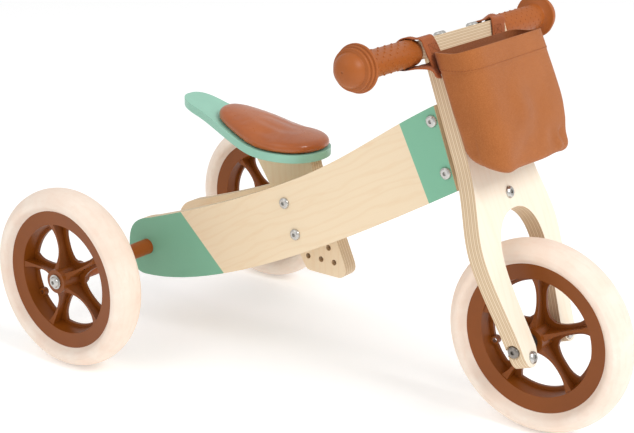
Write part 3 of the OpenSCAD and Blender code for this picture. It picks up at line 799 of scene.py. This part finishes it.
BAG_BACK, BAG_FRONT = 13.4, 57.4
FRONT_RIM, BACK_RIM = 294.0, 300.0
FRONT_LOW, BACK_LOW = 165.0, 195.0   # height of the bottom
HALF_TOP = 75.0                      # half the bag's width at the rim
HALF_BASE, HALF_BASE_LEFT = 66.0, 75.0
FULLNESS = 3.0                       # how far the sides belly out half way down
CORNER = 11.0                        # radius of the bag's lower edge
BOTTOM = 30.0                        # width of the ring of cloth that closes the bottom
HEM = 16.5
CLOTH = 1.7
SIDE_LENGTH = 92.0                   # length of the side that the hem is a share of
BAG_COLUMNS = 232
SPINE_V, SPINE_END = 34.0, 34.0      # the line that the bag's rings are drawn round
# Dents and bulges low on the front: y, u, reach, height.
CREASES = ((54, 186, 8, -4.4), (42, 179, 7, 2.6), (62, 200, 10, 0.8), (28, 190, 10, -1.8),
           (-58, 196, 14, 1.6))


def evenly(points, count):
    """count points spaced evenly along a closed outline."""
    lengths = [math.dist(a, b) for a, b in zip(points, points[1:] + points[:1])]
    step, result, i, passed = sum(lengths) / count, [], 0, 0.0
    for k in range(count):
        while passed + lengths[i] < k * step:
            passed += lengths[i]
            i += 1
        t = (k * step - passed) / lengths[i]
        a, b = points[i], points[(i + 1) % len(points)]
        result.append((a[0] + (b[0] - a[0]) * t, a[1] + (b[1] - a[1]) * t))
    return result


def bag_outline():
    """The bag's plan at the rim as (v, y), with rounded front corners."""
    half = ([(BAG_BACK, 0.0)]
            + curve((BAG_BACK, 60), (BAG_BACK, 70), (18, HALF_TOP), (27, HALF_TOP), 14)
            + curve((27, HALF_TOP), (47, HALF_TOP), (BAG_FRONT, 70), (BAG_FRONT, 50), 14)
            + [(BAG_FRONT, 50.0), (BAG_FRONT, 0.0)])
    return evenly(half + [(v, -y) for v, y in reversed(half[1:-1])], BAG_COLUMNS)


def bag_spine(point):
    """The place on the bag's spine that is nearest to point, at the same height."""
    return Vector((SPINE_V, min(max(point.y, -SPINE_END), SPINE_END), point.z))


def fold_height(y, u, v):
    """How far the cloth stands out at a place on the bag, in millimetres."""
    low = smoothstep(FRONT_RIM - HEM, 215, u)
    warp = noise.noise(Vector((y, u, v)) * 0.018 + Vector((3.1, 0, 0)))
    drift = noise.noise(Vector((y, u, v)) * 0.012 + Vector((0, 7.3, 0)))
    height = low * (3.4 * drift + 1.4 * math.sin((0.75 * y - 0.66 * u) / 9.5 + 2.2 * warp)
                    + 0.25 * math.sin((0.8 * y + 0.6 * u) / 6.4 + 2.0 * warp))
    height *= 0.5 + 0.5 * smoothstep(168, 200, u)
    ridge = y + 4 + 7 * math.sin((FRONT_RIM - u) / 38)
    height += 1.2 * low * math.exp(-(ridge / 14) ** 2) * smoothstep(172, 205, u)
    if v > 35:
        for y0, u0, reach, rise in CREASES:
            height += rise * math.exp(-((y - y0) ** 2 + (u - u0) ** 2) / reach ** 2)
    return height


def bag_row(outline, inset, drop, low_row, thickness):
    """One ring of the bag. drop is how far down its side it is, from 0 to 1, low_row how far
    below that, and inset how far in from the side, towards the middle of the bottom."""
    row = []
    for v, y in outline:
        share = (v - BAG_BACK) / (BAG_FRONT - BAG_BACK)
        rim = BACK_RIM + (FRONT_RIM - BACK_RIM) * smoothstep(0.0, 0.7, share)
        side = BACK_LOW + (FRONT_LOW - BACK_LOW) * share
        taper = (low_row - (side + CORNER - rim) * drop) / (FRONT_RIM - FRONT_LOW)
        left = smoothstep(-40, 40, y)
        base = HALF_BASE + (HALF_BASE_LEFT - HALF_BASE) * left
        here = Vector((BAG_BACK + (v - BAG_BACK) * (1 - (0.09 - 0.07 * left) * taper),
                       y * (1 - (1 - base / HALF_TOP) * taper), 0))
        spine = bag_spine(here)
        out = here - spine
        radius = out.length
        out.normalize()
        height = rim - taper * (FRONT_RIM - FRONT_LOW)
        free = smoothstep(BAG_BACK + 1, BAG_BACK + 10, v)
        stand = free * (FULLNESS * math.sin(math.pi * min(taper * 1.05, 1.0))
                        + fold_height(here.y, height, v)
                        * (1 - 0.5 * smoothstep(0, BOTTOM, inset)))
        here = spine + out * max(radius + stand - inset - thickness, radius * 0.02)
        share = min(max((here.x - BAG_BACK) / (BAG_FRONT - BAG_BACK), 0.0), 1.0)
        bottom = BACK_LOW + (FRONT_LOW - BACK_LOW) * share
        row.append((here.x, here.y, rim + (bottom + CORNER - rim) * drop - low_row))
    return row


def corner_rows(outline, steps, depth, thickness):
    """Rings round the bag's lower edge, without the first."""
    turns = [math.pi / 2 * k / steps for k in range(1, steps + 1)]
    return [bag_row(outline, CORNER * (1 - math.cos(a)), 1.0, depth * math.sin(a), thickness)
            for a in turns]


def make_bag():
    """The bag with its lining, coloured darker than the outside to paint the shade inside the
    bag, and the ring at the lower edge of its hem.
    """
    outline = bag_outline()
    hem = HEM / SIDE_LENGTH
    hem_rows = [(0.0, 0.2), (0.004, 0.6), (0.02, 0.6), (0.06, 0.6), (0.10, 0.6),
                (hem - 0.012, 0.6), (hem - 0.003, 0.5), (hem + 0.002, 0.0)]
    outer = [bag_row(outline, 0.0, drop, 0.0, -stand) for drop, stand in hem_rows]
    hem_edge = outer[6]
    outer += [bag_row(outline, 0.0, hem + (1 - hem) * k / 28, 0.0, 0.0) for k in range(1, 29)]
    outer += corner_rows(outline, 8, CORNER, 0.0)
    outer += [bag_row(outline, CORNER + BOTTOM * k / 8, 1.0, CORNER + 0.4 * k, 0.0)
              for k in range(1, 9)]
    inside = CORNER - 2.0
    inner = [bag_row(outline, 0.0, drop, 0.0, CLOTH) for drop in (0.0, 0.004)]
    inner += [bag_row(outline, 0.0, k / 20, 0.0, CLOTH) for k in range(1, 21)]
    inner += corner_rows(outline, 6, inside, CLOTH)
    inner += [bag_row(outline, CORNER + BOTTOM * k / 5, 1.0, inside + 0.5 * k, CLOTH)
              for k in range(1, 6)]
    rows = outer[::-1] + inner
    verts = [fork(*point) for row in rows for point in row]
    faces = bridge(rows)
    last = (len(rows) - 1) * BAG_COLUMNS
    faces.append(tuple(range(BAG_COLUMNS)))
    faces.append(tuple(range(last, last + BAG_COLUMNS)))
    bag = add_mesh("bag_cloth", verts, faces)
    bag.data.materials.append(CANVAS)
    bag.data.materials.append(SHADED_LINING)
    # Faces of the inner rows take the darker lining: painted shade inside the bag.
    for face in bag.data.polygons:
        face.material_index = int(min(face.vertices) >= len(outer) * BAG_COLUMNS)
    return bag, hem_edge


def make_stitches(ring):
    """A row of short raised stitches just above the hem's lower edge."""
    verts, faces = [], []
    ring = [Vector(point) for point in ring]
    for k in range(0, len(ring), 2):
        here, ahead = ring[k], ring[(k + 1) % len(ring)]
        along = (ahead - here).normalized()
        up = Vector((0, 0, 1))
        out = along.cross(up).normalized()
        middle = here + (ahead - here) * 0.1 + up * 1.5
        if (middle - bag_spine(middle)).dot(out) < 0:
            out = -out
        start = len(verts)
        for step, width, height in ((-1.15, 0.12, 0.0), (-0.75, 0.34, 0.32), (0.75, 0.34, 0.32),
                                    (1.15, 0.12, 0.0)):
            for side, lift in ((-1, 0), (-0.6, 1), (0.6, 1), (1, 0)):
                verts.append(fork(*(middle + along * step + up * side * width
                                    + out * (height * lift + 0.05 - 0.25 * (1 - lift)))))
        for i in range(3):
            low = start + 4 * i
            faces += [(low + j, low + (j + 1) % 4, low + 4 + (j + 1) % 4, low + 4 + j)
                      for j in range(4)]
        faces += [tuple(range(start, start + 4)), tuple(range(start + 15, start + 11, -1))]
    return add_mesh("bag_stitches", verts, faces)


bag, hem_edge = make_bag()
stitches = make_stitches(hem_edge)
stitches.data.materials.append(THREAD)
stitches.parent = bag
place(bag, "bag", "canvas")


# Straps -------------------------------------------------------------------------------

def through(points, steps):
    """A smooth line through points, with steps places to each stretch."""
    points = [Vector(p) for p in points]
    ends = [points[0] * 2 - points[1]] + points + [points[-1] * 2 - points[-2]]
    line = []
    for i in range(1, len(ends) - 2):
        a, b, c, d = ends[i - 1:i + 3]
        for k in range(steps):
            t = k / steps
            line.append(0.5 * (2 * b + (c - a) * t + (2 * a - 5 * b + 4 * c - d) * t * t
                               + (3 * b - a - 3 * c + d) * t ** 3))
    return line + [points[-1]]


# A strap's middle line as (v, y, u): up in front of the bar, over it, down behind it and
# back under it to the bag.
STRAP_PATH = ((11.6, 46, 279), (11.6, 47, 288), (11.9, 49, 297), (12.1, 53, 309),
              (9.3, 56.5, 316.4), (-5, 60, 317.2), (-18.6, 64, 316.4), (-21.9, 66, 311),
              (-22.0, 68, 301), (-19.5, 69, 295.0), (-8, 69.8, 292), (2.5, 67, 290.5),
              (9.8, 60, 288), (12.1, 50, 284))
# Its section: across the webbing, and through its thickness.
STRAP_SECTION = ((-11, -0.5), (-10.4, -0.8), (-4, -0.72), (4, -0.72), (10.4, -0.8),
                 (11, -0.5), (11, 0.5), (10.4, 0.8), (4, 0.72), (-4, 0.72), (-10.4, 0.8),
                 (-11, 0.5))
STRAP_STEPS = 7
ON_BAR, ON_GRIP = 10.2, GRIP_R / MM + 1.6   # least distances from the handlebar's middle
STITCH_V = 13.1
STITCH_LENGTH = 2.6


def make_strap(name, side, shift, back_shift):
    """A loop of webbing, moved outwards by shift at its front and back_shift at its back."""
    line = [p + Vector((0, shift + (back_shift - shift) * smoothstep(50, 66, p.y), 0))
            for p in through(STRAP_PATH, STRAP_STEPS)]
    rows = []
    for i, here in enumerate(line):
        along = (line[min(i + 1, len(line) - 1)] - line[max(i - 1, 0)]).normalized()
        across = Vector((0, 1, 0)) - along * along.y
        across.normalize()
        out = along.cross(across)
        wave = 0.25 * noise.noise(here * 0.09)
        row = []
        for w, h in STRAP_SECTION:
            p = here + across * w + out * (h + wave)
            # Over the grip's end it lies on the grip, which stands above the handlebar.
            from_axis = Vector((p.x - BAR_V, 0, p.z - BAR_U))
            least = ON_BAR + (ON_GRIP - ON_BAR + h) * smoothstep(60, 77, p.y)
            if from_axis.length < least:
                p += from_axis.normalized() * (least - from_axis.length)
            row.append(fork(p.x, side * p.y, p.z))
        rows.append(row)
    count = len(STRAP_SECTION)
    verts = [v for row in rows for v in row]
    faces = bridge(rows)
    last = (len(rows) - 1) * count
    faces += [tuple(range(count)), tuple(range(last, last + count))]
    return add_mesh(name, verts, faces)


def make_cross_stitch(name, side, shift):
    """A stitched box with a cross where a strap leaves the bag."""
    lines = [((41, 300), (55, 300)), ((55, 300), (57, 309)), ((57, 309), (43, 309)),
             ((43, 309), (41, 300)), ((41, 300), (57, 309)), ((55, 300), (43, 309))]
    forward = Vector((1, 0, 0))
    verts, faces = [], []
    for a, b in lines:
        a, b = Vector((STITCH_V, *a)), Vector((STITCH_V, *b))
        along = (b - a).normalized()
        across = along.cross(forward)
        count = round((b - a).length / STITCH_LENGTH)
        for k in range(count):
            middle = a + (b - a) * ((k + 0.5) / count)
            start = len(verts)
            for step, width, v in ((-1, 0.25, -0.4), (-0.6, 0.3, 0.15), (0.6, 0.3, 0.15),
                                   (1, 0.25, -0.4)):
                for sign in (-1, 1):
                    p = middle + along * step + across * sign * width + forward * v
                    verts.append(fork(p.x, side * (p.y + shift), p.z))
                    verts.append(fork(p.x - 0.7, side * (p.y + shift), p.z))
            for i in range(3):
                low = start + 4 * i
                faces += [(low + m, low + n, low + 4 + n, low + 4 + m)
                          for m, n in ((0, 2), (2, 3), (3, 1), (1, 0))]
            faces += [(start, start + 2, start + 3, start + 1),
                      (start + 12, start + 14, start + 15, start + 13)]
    return add_mesh(name, verts, faces)


for node, side, shift, back_shift in (("bag_strap_left", 1, 6, 6),
                                      ("bag_strap_right", -1, 16, 12)):
    strap = make_strap(node + "_webbing", side, shift, back_shift)
    strap.data.materials.append(STRAP_CLOTH)
    sewing = make_cross_stitch(node + "_sewing", side, shift)
    sewing.data.materials.append(THREAD)
    sewing.parent = strap
    place(strap, node, "canvas")


# Floor and light ----------------------------------------------------------------------

LIGHT_AIM = Vector((0, 0, 0.2))
LIGHT_DISTANCE = 3.0


def add_floor():
    """A plain pale floor."""
    half = 6.0
    mesh = bpy.data.meshes.new("floor")
    mesh.from_pydata([(-half, -half, 0), (half, -half, 0), (half, half, 0), (-half, half, 0)],
                     [], [(0, 1, 2, 3)])
    floor = bpy.data.objects.new("floor", mesh)
    bpy.context.scene.collection.objects.link(floor)
    finish = Finish("floor", (0.96, 0.96, 0.96, 1.0), 0.9, {
        "Specular IOR Level": 0.1, "Emission Color": (1, 1, 1, 1), "Emission Strength": 0.2})
    mesh.materials.append(finish.material)


def add_light(name, size, power, azimuth, elevation):
    """A square area light that faces the object. Azimuth 0 is straight in front of its
    right side, and 90 in front of the front wheel."""
    data = bpy.data.lights.new(name, "AREA")
    data.size = size
    data.energy = power
    light = bpy.data.objects.new(name, data)
    bpy.context.scene.collection.objects.link(light)
    a, e = math.radians(azimuth), math.radians(elevation)
    back = Vector((math.sin(a) * math.cos(e), -math.cos(a) * math.cos(e), math.sin(e)))
    light.matrix_world = (Matrix.Translation(LIGHT_AIM + back * LIGHT_DISTANCE)
                          @ back.to_track_quat("Z", "Y").to_matrix().to_4x4())


def add_world(strength):
    """Even white light from all round."""
    world = bpy.data.worlds.new("studio")
    world.use_nodes = True
    background = world.node_tree.nodes["Background"]
    background.inputs["Color"].default_value = (1, 1, 1, 1)
    background.inputs["Strength"].default_value = strength
    bpy.context.scene.world = world


add_floor()
add_world(0.74)
add_light("key", 1.1, 40.0, 84, 42)
add_light("side", 2.0, 9.0, -20, 45)
bpy.context.scene.view_settings.view_transform = "Standard"
